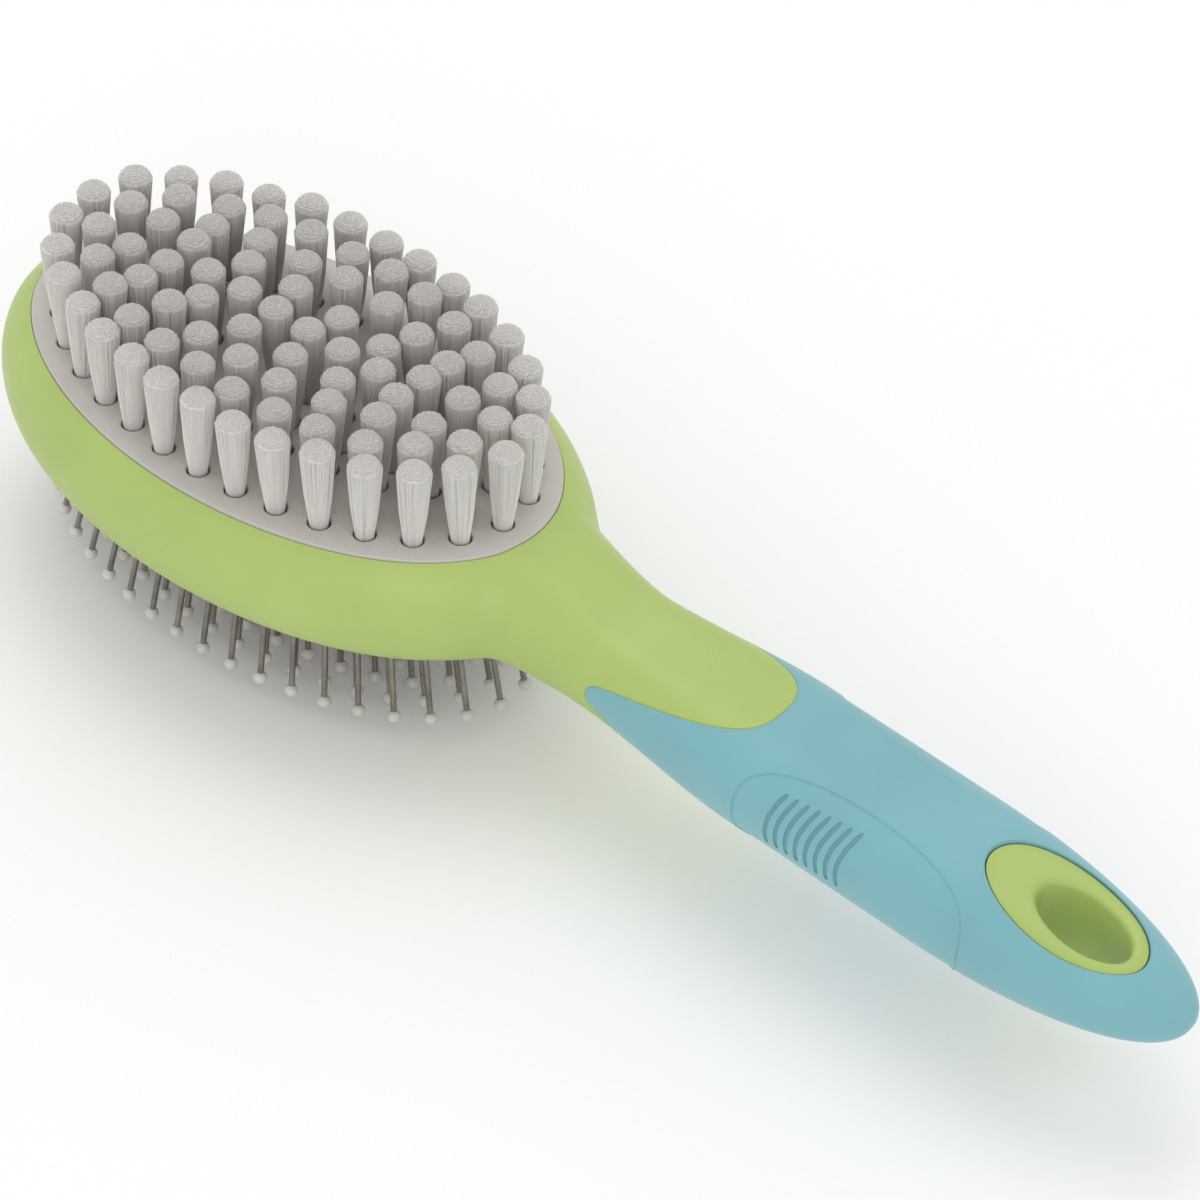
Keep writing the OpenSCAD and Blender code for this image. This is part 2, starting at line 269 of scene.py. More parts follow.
def section(x, angle, depth=0.0):
    """Half width and height of the skin at station x, for angles from 0 at the side to 90 degrees on top."""
    level = np.abs(np.cos(angle))
    power = 2 / mix(2, SQUAREST, float(smooth((x - SQUARE_START) / SQUARE_LEN)))
    if x < 0:
        tip = max(0, (-x - CORE_LEN) / BULGE)
        level = mix(tip, 1, level)
        power = 1
        rise = HALF_THICK * arch(level)
    else:
        rise = max(half_thickness(x) - depth, THINNEST) * arch(level) ** power
    half_len = CORE_LEN + BULGE * level
    reach = (CORE_WID + BULGE * level) * arch(np.minimum(1, abs(x) / half_len))
    if x >= BLEND_X:
        wide = max(handle_width(x) - depth, THINNEST)
        flat = min(TOP_FLAT * float(arch(tail_part(x))), 0.8 * wide)
        reach = soft_max(reach - depth, flat + (wide - flat) * level ** power, BLEND_POWER)
    return reach, middle_z(x) + np.sign(np.sin(angle)) * rise


QUARTER = np.linspace(math.pi / 2, 0, 500)


def skin_height(x, y, side=1, depth=0.0):
    """Height of the moulding's skin over a plan point, on top (side 1) or underneath (side -1)."""
    reach, height = section(x, QUARTER * side, depth)
    return float(np.interp(abs(y), reach, height))


def skin_reach(x, z, depth=0.0):
    """Half width of the moulding at station x and height z."""
    side = 1 if z >= middle_z(x) else -1
    reach, height = section(x, QUARTER * side, depth)
    order = np.argsort(height)
    return float(np.interp(z, height[order], reach[order]))


# ---------- mesh building ----------

def make_piece(name, points, faces, smooth_angle=35):
    mesh = bpy.data.meshes.new(name)
    mesh.from_pydata(np.asarray(points, float).tolist(), [], faces)
    mesh.validate()
    piece = bpy.data.objects.new(name, mesh)
    bpy.context.scene.collection.objects.link(piece)
    shade(piece, smooth_angle)
    return piece


def shade(piece, angle):
    mesh = piece.data
    mesh.polygons.foreach_set("use_smooth", np.ones(len(mesh.polygons), bool))
    mesh.set_sharp_from_angle(angle=math.radians(angle))
    mesh.update()


def rings_to_faces(rings, count, closed=False):
    """Quads between rings of count points each, with end caps unless the rings close on themselves."""
    faces = []
    for r in range(rings if closed else rings - 1):
        a, b = r * count, ((r + 1) % rings) * count
        for i in range(count):
            j = (i + 1) % count
            faces.append((a + i, a + j, b + j, b + i))
    if not closed:
        faces.append(tuple(reversed(range(count))))
        faces.append(tuple(range((rings - 1) * count, rings * count)))
    return faces


def stack(name, rings):
    """A closed solid through rings of points, from the lowest up, each anticlockwise from above."""
    rings = np.asarray(rings)
    return make_piece(name, rings.reshape(-1, 3), rings_to_faces(len(rings), rings.shape[1]))


def tube(name, path, radius, sides=10):
    """A closed loop of tube along a path on the moulding's skin that ends where it starts."""
    path = np.asarray(path, float)
    ahead = np.roll(path, -1, axis=0) - np.roll(path, 1, axis=0)
    ahead /= np.linalg.norm(ahead, axis=1)[:, None]
    middle = np.array([(x, 0, middle_z(x - HEAD_X)) for x, _, _ in path])
    out = np.cross(ahead, path - middle)
    out /= np.linalg.norm(out, axis=1)[:, None]
    up = np.cross(out, ahead)
    turn = np.linspace(0, 2 * math.pi, sides, endpoint=False)
    ring = np.cos(turn)[:, None, None] * out + np.sin(turn)[:, None, None] * up
    points = (path + radius * ring).transpose(1, 0, 2)
    piece = make_piece(name, points.reshape(-1, 3), rings_to_faces(len(path), sides, closed=True))
    outward(piece)
    return piece


def outward(piece):
    """Turns every face of a closed piece to look outwards."""
    work = bmesh.new()
    work.from_mesh(piece.data)
    bmesh.ops.recalc_face_normals(work, faces=work.faces)
    work.to_mesh(piece.data)
    work.free()


def carve(piece, *cutters, how="DIFFERENCE", smooth_angle=35):
    """Cuts piece with closed solids, or joins or intersects them, and removes the cutters."""
    for cutter in cutters:
        step = piece.modifiers.new("carve", "BOOLEAN")
        step.operation = how
        step.solver = "MANIFOLD"
        step.object = cutter
    bpy.context.view_layer.update()
    result = piece.evaluated_get(bpy.context.evaluated_depsgraph_get())
    mesh = bpy.data.meshes.new_from_object(result)
    piece.modifiers.clear()
    piece.data = mesh
    for cutter in cutters:
        bpy.data.objects.remove(cutter)
    shade(piece, smooth_angle)
    return piece


def oval(a, b, count=256, middle=0.0):
    turn = np.linspace(0, 2 * math.pi, count, endpoint=False)
    return np.stack([middle + HEAD_X + a * np.cos(turn), b * np.sin(turn)], axis=1)


def at_height(outline, z):
    return np.column_stack([outline, np.broadcast_to(z, len(outline))])


def prism(name, outline, low, high):
    return stack(name, [at_height(outline, low), at_height(outline, high)])


def lipped_cutter(name, a, b, middle, inner_z, outer_z, radius, side=1, sink=0.0):
    """A cutter for an oval pocket whose mouth is rounded over where it meets the moulding's skin."""
    rings = [at_height(oval(a, b, middle=middle), inner_z)]
    for turn in np.linspace(0, math.pi / 2, 9):
        grow = radius * (1 - math.cos(turn))
        outline = oval(a + grow, b + grow, middle=middle)
        skin = np.array([skin_height(x - HEAD_X, y, side, sink) for x, y in outline])
        rings.append(at_height(outline, skin - side * radius * (1 - math.sin(turn))))
    rings.append(at_height(outline, outer_z))
    if side < 0:
        rings.reverse()
    return stack(name, rings)


def loft(name, spots, depth=0.0):
    """The moulding's outer shape through the given stations along X, shrunk by depth."""
    arc = np.linspace(0, math.pi / 2, ARC_POINTS)
    flat = np.linspace(1, -1, FLAT_POINTS + 2)[1:-1]
    angles = np.concatenate([arc, np.full(FLAT_POINTS, math.pi / 2), math.pi - arc[::-1]])
    across = np.concatenate([np.ones(ARC_POINTS), flat, -np.ones(ARC_POINTS)])
    angles = np.concatenate([angles, -angles[::-1][1:-1]])
    across = np.concatenate([across, across[::-1][1:-1]])
    rings = []
    for x in spots:
        reach, height = section(x, angles, depth)
        rings.append(np.column_stack([np.full(len(angles), x + HEAD_X), across * reach, height]))
    piece = make_piece(name, np.concatenate(rings), rings_to_faces(len(rings), len(angles)))
    outward(piece)
    return piece


def stations(first_x, step=STATION_STEP):
    """Stations from first_x to the tail, closer together where the shape turns in at its ends."""
    tail = mix(TAIL_START, TAIL_REACH - END_GAP, np.sin(np.linspace(0, math.pi / 2, 90)))
    if first_x > 0:
        return np.concatenate([np.arange(first_x, TAIL_START - step / 2, step), tail])
    head = -(HEAD_LEN - END_GAP) * np.cos(np.linspace(0, math.pi / 2, 110))
    return np.concatenate([head, np.arange(step, TAIL_START - step / 2, step), tail])


# ---------- the two-shot moulding: green body and blue grip ----------

def edge_x(y):
    """Plan line where the rubber starts: a tongue of bare plastic runs down the middle of the neck."""
    share = min(1, abs(y) / TONGUE_WID)
    return mix(RUBBER_START, TONGUE_TIP, (1 - share ** 3) ** (1 / 3))


def tongue_points(count=72):
    turn = np.linspace(-math.pi / 2, math.pi / 2, count)
    return [(edge_x(TONGUE_WID * math.sin(t)), TONGUE_WID * math.sin(t)) for t in turn]


def nose_x(z):
    """Where the rubber starts on the flank of the neck, at one height: a rounded nose seen from the side."""
    share = min(1, abs(z - middle_z(RUBBER_START)) / NOSE_HALF)
    return RUBBER_START + NOSE_LEN * (1 - float(arch(share)))


def rubber_block():
    """Everything that is rubber: outside the tongue in plan, and behind the noses in side view."""
    wide, end = 20 * MM, TAIL_REACH + 5 * MM
    corners = [(RUBBER_START, wide), (end, wide), (end, -wide), (RUBBER_START, -wide)]
    outline = np.array(tongue_points() + corners)[::-1] + (HEAD_X, 0)
    block = prism("rubber_block", outline, BELOW_ALL, ABOVE_ALL)
    middle = middle_z(RUBBER_START)
    front = [(nose_x(middle + NOSE_HALF * math.sin(t)), middle + NOSE_HALF * math.sin(t))
             for t in np.linspace(-math.pi / 2, math.pi / 2, 48)]
    back, low, high = RUBBER_START + NOSE_LEN, BELOW_ALL - OVERLAP, ABOVE_ALL + OVERLAP
    side = front + [(back, high), (end, high), (end, low), (back, low)]
    rings = [[(x + HEAD_X, y, z) for x, z in side] for y in (-wide - 5 * MM, wide + 5 * MM)]
    noses = stack("noses", rings)
    outward(noses)
    return carve(block, noses, how="INTERSECT")


def seam_groove(radius):
    """A fine groove round the handle, along the line where the rubber meets the plastic."""
    loops = []
    for side in (1, -1):
        line = [(x, y, skin_height(x, y, side)) for x, y in tongue_points()]
        loops.append([p for p in line if p[0] >= nose_x(p[2])])
    flank = []
    for share in np.linspace(1, -1, 90):
        z = middle_z(RUBBER_START) + NOSE_HALF * math.sin(share * math.pi / 2)
        x = nose_x(z)
        y = skin_reach(x, z)
        if y > TONGUE_WID or x > edge_x(y):
            flank.append((x, y, z))
    over, under = loops
    far = [(x, -y, z) for x, y, z in reversed(flank)]
    path = np.array(over + flank + under[::-1] + far) + (HEAD_X, 0, 0)
    return tube("seam_groove", even_path(path, PATH_STEP), radius)


def even_path(path, step):
    """The same closed path with points an even step apart."""
    path = np.vstack([path, path[:1]])
    run = np.concatenate([[0], np.cumsum(np.linalg.norm(np.diff(path, axis=0), axis=1))])
    count = int(run[-1] / step)
    spots = np.linspace(0, run[-1], count, endpoint=False)
    return np.column_stack([np.interp(spots, run, path[:, k]) for k in range(3)])


def dish_groove(radius, side):
    """Rounds the rubber's edge where it stands round the green dish."""
    outline = oval(DISH_LEN + DISH_GAP, DISH_WID + DISH_GAP, 200, DISH_X)
    path = [(x, y, skin_height(x - HEAD_X, y, side)) for x, y in outline]
    return tube("dish_groove", path, radius)


def panel_line(side, radius):
    """A fine line round a thumb panel, over the top of the handle, down its flank and back underneath."""
    over, under = [], []
    for turn in np.linspace(0, math.pi, 240):
        x, y = PANEL_X + PANEL_LEN * math.cos(turn), PANEL_Y - PANEL_REACH * math.sin(turn)
        if y < handle_width(x) - THINNEST:
            over.append((x, side * y, skin_height(x, y, 1)))
            under.append((x, side * y, skin_height(x, y, -1)))
    path = np.array(over + under[::-1]) + (HEAD_X, 0, 0)
    return tube("panel_line", even_path(path, PATH_STEP), radius)


def thumb_groove(index, side):
    """One bowed groove of a thumb panel, on its skin. The two sides swap when the brush is turned over."""
    start_x = GROOVE_START + index * GROOVE_PITCH
    path = []
    for turn in np.linspace(-GROOVE_TURN, GROOVE_TURN, 33):
        along, up = GROOVE_BOW * (1 - math.cos(turn)), GROOVE_BOW * math.sin(turn)
        x = start_x + along * math.cos(GROOVE_LEAN) + up * math.sin(GROOVE_LEAN)
        rise = GROOVE_LIFT + up * math.cos(GROOVE_LEAN) - along * math.sin(GROOVE_LEAN)
        z = middle_z(GROOVE_AXIS_X) - side * rise
        path.append((x + HEAD_X, side * (skin_reach(x, z, PANEL_SINK) - GROOVE_SINK), z))
    return rod("thumb_groove", path, GROOVE_RADIUS)


def rod(name, path, radius, sides=14):
    """A rod along an open path, with rounded ends."""
    path = np.asarray(path, float)
    ahead = np.gradient(path, axis=0)
    ahead /= np.linalg.norm(ahead, axis=1)[:, None]
    out = np.cross(ahead, (1.0, 0.0, 0.0))
    out /= np.linalg.norm(out, axis=1)[:, None]
    up = np.cross(out, ahead)
    share = np.linspace(-1, 1, len(path))
    size = radius * np.maximum(0.15, arch(share ** 8))
    turn = np.linspace(0, 2 * math.pi, sides, endpoint=False)
    rings = [p + s * (np.cos(turn)[:, None] * o + np.sin(turn)[:, None] * u)
             for p, s, o, u in zip(path, size, out, up)]
    piece = make_piece(name, np.concatenate(rings), rings_to_faces(len(rings), sides))
    outward(piece)
    return piece


def moulded_body():
    body = loft("moulded_body", stations(-1))
    carve(body, rubber_block())
    core = loft("core", stations(CORE_START, CORE_STEP), GRIP_SKIN)
    carve(body, core, how="UNION")
    pad = loft("pad", stations(PAD_LOFT_START), DISH_SINK)
    dish = prism("dish", oval(DISH_LEN, DISH_WID, 200, DISH_X), BELOW_ALL, ABOVE_ALL)
    carve(pad, dish, how="INTERSECT")
    carve(body, pad, how="UNION")
    middle = middle_z(HOLE_X)
    hole = HOLE_LEN, HOLE_WID, HOLE_X
    hole_above = lipped_cutter("hole_top", *hole, middle, ABOVE_ALL, HOLE_LIP_TOP, 1, DISH_SINK)
    hole_below = lipped_cutter("hole_low", *hole, middle + OVERLAP, BELOW_ALL, HOLE_LIP_LOW, -1, DISH_SINK)
    flange = PLATE_LEN + SEAM, PLATE_WID + SEAM, 0
    recess = lipped_cutter("recess", *flange, PLATE_Z - FLANGE_THICK, ABOVE_ALL, RECESS_LIP)
    inner = PLATE_LEN - BOSS_INSET + SEAM, PLATE_WID - BOSS_INSET + SEAM
    boss = prism("boss", oval(*inner), WEB_TOP_Z, ABOVE_ALL)
    cup = CUP_LEN + SEAM, CUP_WID + SEAM, 0
    pocket = lipped_cutter("pocket", *cup, WEB_LOW_Z, BELOW_ALL, POCKET_LIP, -1)
    carve(body, hole_above, hole_below, recess, boss, pocket, seam_groove(SEAM_GROOVE))
    return body


def thumb_panel(side):
    """A cutter for one sunk thumb panel: an oval in plan, as deep as the panel below the skin."""
    turn = np.linspace(0, 2 * math.pi, 160, endpoint=False)
    along, across = PANEL_X + PANEL_LEN * np.cos(turn), side * PANEL_Y + PANEL_REACH * np.sin(turn)
    panel = prism("panel", np.stack([HEAD_X + along, across], axis=1), BELOW_ALL, ABOVE_ALL)
    return carve(panel, loft("panel_floor", stations(PANEL_LOFT_START), PANEL_SINK))


def rubber_grip():
    grip = loft("rubber_grip", stations(GRIP_LOFT_START))
    carve(grip, rubber_block(), how="INTERSECT")
    core = loft("core", stations(CORE_START, CORE_STEP), GRIP_SKIN)
    dish = prism("dish", oval(DISH_LEN + DISH_GAP, DISH_WID + DISH_GAP, 200, DISH_X), BELOW_ALL, ABOVE_ALL)
    carve(grip, core, dish)
    for side in (1, -1):
        carve(grip, thumb_panel(side))
        carve(grip, *[thumb_groove(i, side) for i in range(GROOVES)])
        carve(grip, dish_groove(DISH_GROOVE, side), panel_line(side, PANEL_LINE))
    carve(grip, seam_groove(SEAM_GROOVE))
    return grip


# ---------- bristle side ----------

def even_ring(a, b, count, phase):
    """Points at equal steps along an oval, starting a part-step from its -X end."""
    turn = np.linspace(0, 2 * math.pi, 2000)
    steps = np.hypot(a * np.diff(np.cos(turn)), b * np.diff(np.sin(turn)))
    run = np.concatenate([[0], np.cumsum(steps)])
    angle = np.interp((np.arange(count) + phase) / count * run[-1], run, turn) + math.pi
    return np.stack([HEAD_X + a * np.cos(angle), b * np.sin(angle)], axis=1)


def even_line(half, count):
    return np.stack([HEAD_X + np.linspace(-half, half, count), np.zeros(count)], axis=1)


def tuft_spots(ring):
    """Middles of the tufts in one ring, counted from 0 at the edge; the last is a line down the middle."""
    if ring == len(TUFT_COUNTS):
        return even_line(*TUFT_LINE)
    inset = TUFT_INSET + ring * TUFT_RING_GAP
    return even_ring(PLATE_LEN - inset, PLATE_WID - inset, TUFT_COUNTS[ring], 0.75 if ring == 0 else 0.5)


def tuft_plate():
    """The oval plate: a rounded edge, a boss below, and a countersunk hole under each tuft."""
    boss = oval(PLATE_LEN - BOSS_INSET, PLATE_WID - BOSS_INSET)
    rim = oval(PLATE_LEN + SEAM / 2, PLATE_WID + SEAM / 2)
    flange_z = PLATE_Z - FLANGE_THICK
    rings = [at_height(boss, PLATE_Z - PLATE_THICK), at_height(boss, flange_z), at_height(rim, flange_z)]
    for turn in np.linspace(0, math.pi / 2, 6):
        inset = PLATE_EDGE * (1 - math.cos(turn)) - SEAM / 2
        level = PLATE_Z - PLATE_EDGE * (1 - math.sin(turn))
        rings.append(at_height(oval(PLATE_LEN - inset, PLATE_WID - inset), level))
    plate = stack("tuft_plate", rings)
    for ring in range(len(TUFT_COUNTS) + 1):
        points, faces = [], []
        for x, y in tuft_spots(ring):
            faces += [tuple(i + len(points) for i in face) for face in rings_to_faces(8, 28)]
            points += hole_rings(x, y)
        carve(plate, make_piece("holes", points, faces))
    return plate


def hole_rings(x, y):
    """A tuft hole's cutter, with a mouth that rolls over to the plate's face."""
    roll = TUFT_HOLE_LIP
    profile = [(TUFT_HOLE, -TUFT_DEPTH), (TUFT_HOLE, -roll)]
    for turn in np.linspace(0.3, math.pi / 2, 5):
        profile.append((TUFT_HOLE + roll * (1 - math.cos(turn)), -roll * (1 - math.sin(turn))))
    profile.append((TUFT_HOLE + roll, 1 * MM))
    turn = np.linspace(0, 2 * math.pi, 28, endpoint=False)
    return [(x + r * math.cos(t), y + r * math.sin(t), PLATE_Z + z) for r, z in profile for t in turn]


def round_pack(rings):
    """Points packed in rings inside a unit circle: one in the middle, then 6, 12, 18 and so on."""
    spots = [(0.0, 0.0)]
    for ring in range(1, rings + 1):
        for turn in np.linspace(0, 2 * math.pi, 6 * ring, endpoint=False) + ring:
            spots.append((ring / rings * math.cos(turn), ring / rings * math.sin(turn)))
    return np.array(spots)


def crown_drop(away):
    """How far the rounded top of a tuft falls below its middle, at a share of the way out to its edge."""
    return TUFT_CROWN * (1 - arch(clamp01((away - 0.1) / 0.92)))


def tuft_core(spot, lean, height):
    """Rings of a smooth solid just inside a tuft's outer filaments, from its root to its crown."""
    turn = np.linspace(0, 2 * math.pi, CORE_SIDES, endpoint=False)
    circle = np.column_stack([np.cos(turn), np.sin(turn)])
    top = height - crown_drop(1.0) - CORE_GAP
    rings = []
    for share, reach, _, _ in TUFT_PROFILE[:-1]:
        rings.append((share * (top - TUFT_LOW), share, reach * MM - CORE_GAP))
    for out in (0.94, 0.85, 0.7, 0.4, 0.05):
        rise = height - crown_drop(out) - CORE_GAP - TUFT_LOW
        rings.append((rise, 1, out * (TUFT_PROFILE[-1][1] * MM - CORE_GAP)))
    return [at_height(spot + lean * share + radius * circle, PLATE_Z + TUFT_LOW + rise)
            for rise, share, radius in rings]


def filaments(name, spots, chance):
    """One ring of tufts: slim nylon filaments, bunched at the root, round a core under a rounded crown."""
    packed = round_pack(PACK_RINGS)
    tufts, each = len(spots), len(packed)
    lean = chance.normal(0, TUFT_LEAN, (tufts, 2))
    uneven = np.clip(chance.normal(0, TUFT_UNEVEN, tufts), -2 * TUFT_UNEVEN, 2 * TUFT_UNEVEN)
    stand = TUFT_HEIGHT - TUFT_SHORT + uneven
    away = np.tile(packed, (tufts, 1)) + chance.normal(0, 0.02, (tufts * each, 2))
    away /= np.maximum(1, np.linalg.norm(away, axis=1, keepdims=True))
    drop = crown_drop(np.linalg.norm(away, axis=1))
    height = np.repeat(stand, each) - drop + chance.normal(0, 0.03 * MM, tufts * each)
    turn = np.linspace(0, 2 * math.pi, FILAMENT_SIDES, endpoint=False)
    circle = np.stack([np.cos(turn), np.sin(turn)], axis=1)
    layers = []
    for share, reach, size, sunk in TUFT_PROFILE:
        middle = np.repeat(spots + lean * share, each, axis=0) + away * (reach * MM - FILAMENT)
        z = PLATE_Z + TUFT_LOW + (height - TUFT_LOW) * share - sunk * MM
        ring = middle[:, None, :] + size * FILAMENT * circle
        level = np.broadcast_to(z[:, None, None], (len(z), FILAMENT_SIDES, 1))
        layers.append(np.concatenate([ring, level], axis=2))
    points = np.stack(layers, axis=1).reshape(-1, 3).tolist()
    one = rings_to_faces(len(layers), FILAMENT_SIDES)
    step = len(layers) * FILAMENT_SIDES
    faces = [tuple(i + k * step for i in face) for k in range(tufts * each) for face in one]
    for spot, tilt, high in zip(spots, lean, stand):
        rings = tuft_core(spot, tilt, high)
        faces += [tuple(i + len(points) for i in face) for face in rings_to_faces(len(rings), CORE_SIDES)]
        points += np.concatenate(rings).tolist()
    return make_piece(name, points, faces, 60)


# ---------- pin side ----------

def pin_spots():
    """Middles of the pins on the skin, in rings from the edge inwards, then a line down the middle."""
    (a, b), gap = PIN_RING, PIN_RING_GAP
    rings = [even_ring(a - i * gap, b - i * gap, count, 0.5 * (1 - i % 2))
             for i, count in enumerate(PIN_COUNTS)]
    return np.concatenate(rings + [even_line(a - len(PIN_COUNTS) * gap, PIN_LINE_COUNT)])


def cushion_skin():
    """The domed rubber skin: a rolled edge under the frame, and a raised collar round each pin."""
    a, b = CUP_LEN - DOME_INSET - 0.05 * MM, CUP_WID - DOME_INSET - 0.05 * MM
    turn = np.linspace(0, 2 * math.pi, 420, endpoint=False)
    pins = pin_spots()
    rings = []
    for share in np.linspace(0.004, 1, 150):
        x, y = a * share * np.cos(turn), b * share * np.sin(turn)
        apart = np.hypot(x[:, None] + HEAD_X - pins[:, 0], y[:, None] - pins[:, 1]).min(axis=1)
        collar = COLLAR_RISE * np.exp(-(apart / COLLAR_REACH) ** 4)
        moat = COLLAR_MOAT * np.exp(-((apart - MOAT_REACH) / MOAT_WIDTH) ** 2)
        edge = smooth((1 - share) / 0.05)
        z = RIM_Z - CROWN * (1 - share ** 2) - (collar - moat) * edge
        rings.append(np.column_stack([x + HEAD_X, y, z]))
    for grow, z in ((0.1, 0.0), (2.25, 0.0), (2.3, 0.1), (2.3, 1.7), (2.2, 1.8), (0, 1.8)):
        rings.append(at_height(oval(a + grow * MM, b + grow * MM, len(turn)), RIM_Z + z * MM))
    for share in np.linspace(0.99, 0.01, 30):
        inside = oval(a * share, b * share, len(turn))
        rings.append(at_height(inside, RIM_Z + SKIN_THICK - CROWN * (1 - share ** 2)))
    skin = make_piece("cushion_skin", np.concatenate(rings), rings_to_faces(len(rings), len(turn)), 40)
    outward(skin)
    return skin


def cushion_ring():
    """The clip ring that holds the cushion's edge, with a rounded inner and outer corner."""
    inner_len, inner_wid = CUP_LEN - DOME_INSET, CUP_WID - DOME_INSET
    rings = []
    for turn in np.linspace(0, math.pi / 2, 5):
        grow = CUP_LEN - inner_len - RING_EDGE * (1 - math.cos(turn))
        level = ring_low.z + RING_EDGE * (1 - math.sin(turn))
        rings.append(at_height(oval(inner_len + grow, inner_wid + grow), level))
    for turn in np.linspace(math.pi / 2, 0, 5):
        grow = RING_EDGE * (1 - math.cos(turn))
        level = ring_low.z + RING_EDGE * (1 - math.sin(turn))
        rings.append(at_height(oval(inner_len + grow, inner_wid + grow), level))
    rings.append(at_height(oval(inner_len, inner_wid), ring_high.z))
    rings.append(at_height(oval(CUP_LEN, CUP_WID), ring_high.z))
    ring = make_piece("cushion_ring", np.concatenate(rings), rings_to_faces(len(rings), 256, closed=True))
    outward(ring)
    return ring


# ---------- materials ----------

def material(name, colour, roughness, **sockets):
    """A Principled material and its shader. Extra sockets have underscores for spaces."""
    made = bpy.data.materials.new(name)
    made.use_nodes = True
    shader = made.node_tree.nodes["Principled BSDF"]
    shader.inputs["Base Color"].default_value = (*colour, 1)
    shader.inputs["Roughness"].default_value = roughness
    for socket, value in sockets.items():
        shader.inputs[socket.replace("_", " ")].default_value = value
    return made, shader


def add_node(made, kind, **settings):
    node = made.node_tree.nodes.new(kind)
    for key, value in settings.items():
        setattr(node, key, value)
    return node


def noise(made, scale, detail=3.0, stretch=(1, 1, 1), rough=0.5):
    """Noise fixed to the object's own space, in features of about 1 / scale metres."""
    links = made.node_tree.links
    place = add_node(made, "ShaderNodeTexCoord")
    mapping = add_node(made, "ShaderNodeMapping")
    mapping.inputs["Scale"].default_value = stretch
    texture = add_node(made, "ShaderNodeTexNoise")
    texture.inputs["Scale"].default_value = scale
    texture.inputs["Detail"].default_value = detail
    texture.inputs["Roughness"].default_value = rough
    links.new(place.outputs["Object"], mapping.inputs["Vector"])
    links.new(mapping.outputs["Vector"], texture.inputs["Vector"])
    return texture.outputs["Fac"]


def ramp(made, source, low, high, start=0.3, end=0.7):
    """Turns a 0 to 1 source into a run between two colours."""
    node = add_node(made, "ShaderNodeValToRGB")
    node.color_ramp.elements[0].position = start
    node.color_ramp.elements[1].position = end
    node.color_ramp.elements[0].color = (*low, 1)
    node.color_ramp.elements[1].color = (*high, 1)
    made.node_tree.links.new(source, node.inputs["Fac"])
    return node.outputs["Color"]


def spread(made, source, low, high, start=0.3, end=0.7):
    """Turns a 0 to 1 source into a run between two numbers."""
    node = add_node(made, "ShaderNodeMapRange")
    for key, value in (("From Min", start), ("From Max", end), ("To Min", low), ("To Max", high)):
        node.inputs[key].default_value = value
    made.node_tree.links.new(source, node.inputs["Value"])
    return node.outputs["Result"]


def multiply(made, first, second):
    """One colour times another."""
    blend = add_node(made, "ShaderNodeMix", data_type="RGBA", blend_type="MULTIPLY")
    blend.inputs["Factor"].default_value = 1
    # A Mix node's colour sockets are inputs 6 and 7 and output 2
    made.node_tree.links.new(first, blend.inputs[6])
    made.node_tree.links.new(second, blend.inputs[7])
    return blend.outputs[2]


def bump(made, shader, *layers):
    """Layers of (height source, strength, depth in metres), one on another."""
    links = made.node_tree.links
    below = None
    for source, strength, depth in layers:
        node = add_node(made, "ShaderNodeBump")
        node.inputs["Strength"].default_value = strength
        node.inputs["Distance"].default_value = depth
        links.new(source, node.inputs["Height"])
        if below:
            links.new(below, node.inputs["Normal"])
        below = node.outputs["Normal"]
    links.new(below, shader.inputs["Normal"])


def tinted(colour, share):
    return tuple(min(1.0, c * share) for c in colour)


def moulded(name, colour, roughness, grain, depth, wander=0.05, **sockets):
    """Moulded plastic or rubber: a slow drift of colour, a fine grain, and patches of faint gloss."""
    made, shader = material(name, colour, roughness, **sockets)
    links = made.node_tree.links
    tone = ramp(made, noise(made, 45, 2), tinted(colour, 1 - wander), tinted(colour, 1 + wander))
    links.new(tone, shader.inputs["Base Color"])
    patches = noise(made, 160, 4)
    links.new(spread(made, patches, roughness - 0.05, roughness + 0.06), shader.inputs["Roughness"])
    bump(made, shader, (noise(made, 220, 2), 0.25, 0.03 * MM), (noise(made, grain, 3), 0.35, depth))
    return made


def drawn_steel(name, colour, roughness):
    """Drawn wire: lengthwise die lines, a slight brown tarnish, and a soft metal gloss."""
    made, shader = material(name, colour, roughness, Metallic=1.0)
    links = made.node_tree.links
    lines = noise(made, 900, 3, (9, 9, 0.35))
    tarnish = noise(made, 260, 4)
    links.new(ramp(made, tarnish, tinted(colour, 0.72), tinted(colour, 1.12)), shader.inputs["Base Color"])
    links.new(spread(made, lines, roughness - 0.08, roughness + 0.12), shader.inputs["Roughness"])
    bump(made, shader, (lines, 0.3, 0.02 * MM))
    return made


